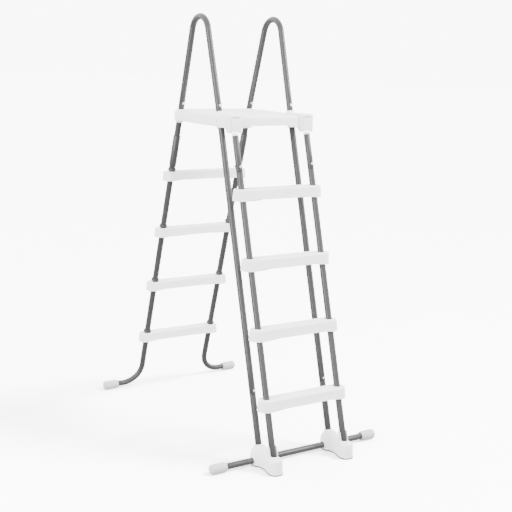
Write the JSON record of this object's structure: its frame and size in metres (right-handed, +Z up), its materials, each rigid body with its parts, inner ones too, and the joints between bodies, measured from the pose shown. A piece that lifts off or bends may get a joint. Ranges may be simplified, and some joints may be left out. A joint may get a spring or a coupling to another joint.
{
  "type": "pool ladder",
  "caption": "A-frame ladder for an above-ground pool: moulded treads on bent steel tubes, a deck with hoop handrails, and a lock-in front section that tilts away.",
  "frame": {"origin": "on the floor, under the middle of the object's bounding box", "axes": "+Z up; -Y is the side with the removable steps, +Y is the pool side; +X is to the right when facing the removable steps' side from the front (looking along +Y)"},
  "size_m": [0.798, 1.2397, 1.7441],
  "materials": {
    "white_plastic": "moulded, light satin grain",
    "tube_paint": "satin grey powder coat",
    "cap_plastic": "slightly translucent soft plastic",
    "collar_plastic": "dark grey moulded plastic",
    "pad_rubber": "matt black rubber",
    "bolt_steel": "zinc plated",
    "spring_steel": "drawn spring wire"
  },
  "bodies": {
    "frame": {"back_foot_cap_left": "cap_plastic", "back_foot_cap_right": "cap_plastic", "back_leg_left": "tube_paint", "back_leg_right": "tube_paint", "back_leg_upper_left": "tube_paint", "back_leg_upper_right": "tube_paint", "back_step_1": "white_plastic", "back_step_1_collar_left": "collar_plastic", "back_step_1_collar_right": "collar_plastic", "back_step_2": "white_plastic", "back_step_2_collar_left": "collar_plastic", "back_step_2_collar_right": "collar_plastic", "back_step_3": "white_plastic", "back_step_3_collar_left": "collar_plastic", "back_step_3_collar_right": "collar_plastic", "back_step_4": "white_plastic", "back_step_4_collar_left": "collar_plastic", "back_step_4_collar_right": "collar_plastic", "base_bracket_left": "white_plastic", "base_bracket_right": "white_plastic", "base_cross_tube": "tube_paint", "base_pad_left": "pad_rubber", "base_pad_right": "pad_rubber", "cross_tube_cap_left": "cap_plastic", "cross_tube_cap_right": "cap_plastic", "deck": "white_plastic", "front_leg_bolt_left": "bolt_steel", "front_leg_bolt_right": "bolt_steel", "front_leg_lower_left": "tube_paint", "front_leg_lower_right": "tube_paint", "front_leg_upper_left": "tube_paint", "front_leg_upper_right": "tube_paint", "handrail_back_bolt_left": "bolt_steel", "handrail_back_bolt_right": "bolt_steel", "handrail_front_bolt_left": "bolt_steel", "handrail_front_bolt_right": "bolt_steel", "handrail_left": "tube_paint", "handrail_right": "tube_paint", "latch_housing_left": "white_plastic", "latch_housing_right": "white_plastic", "latch_spring_left": "spring_steel", "latch_spring_right": "spring_steel"},
    "removable_steps": {"rail_bolt_left": "bolt_steel", "rail_bolt_right": "bolt_steel", "rail_bottom_plug_left": "white_plastic", "rail_bottom_plug_right": "white_plastic", "rail_lower_left": "tube_paint", "rail_lower_right": "tube_paint", "rail_top_plug_left": "white_plastic", "rail_top_plug_right": "white_plastic", "rail_upper_left": "tube_paint", "rail_upper_right": "tube_paint", "removable_step_1": "white_plastic", "removable_step_2": "white_plastic", "removable_step_3": "white_plastic", "removable_step_4": "white_plastic"},
    "latch_left": {"latch_tab_left": "white_plastic"},
    "latch_right": {"latch_tab_right": "white_plastic"}
  },
  "joints": [
    {"name": "steps_tilt", "type": "hinge", "parent": "frame", "child": "removable_steps", "pos_m": [0, -0.58433, 0.022], "axis": [1, 0, 0], "range_deg": [0, 12]},
    {"name": "latch_left", "type": "slide", "parent": "frame", "child": "latch_left", "axis": [0, 0, 1], "range_m": [0, 0.009], "stiffness_N_per_m": 200, "springref_m": -0.004, "deforming": ["latch_spring_left"]},
    {"name": "latch_right", "type": "slide", "parent": "frame", "child": "latch_right", "axis": [0, 0, 1], "range_m": [0, 0.009], "stiffness_N_per_m": 200, "springref_m": -0.004, "deforming": ["latch_spring_right"]}
  ]
}
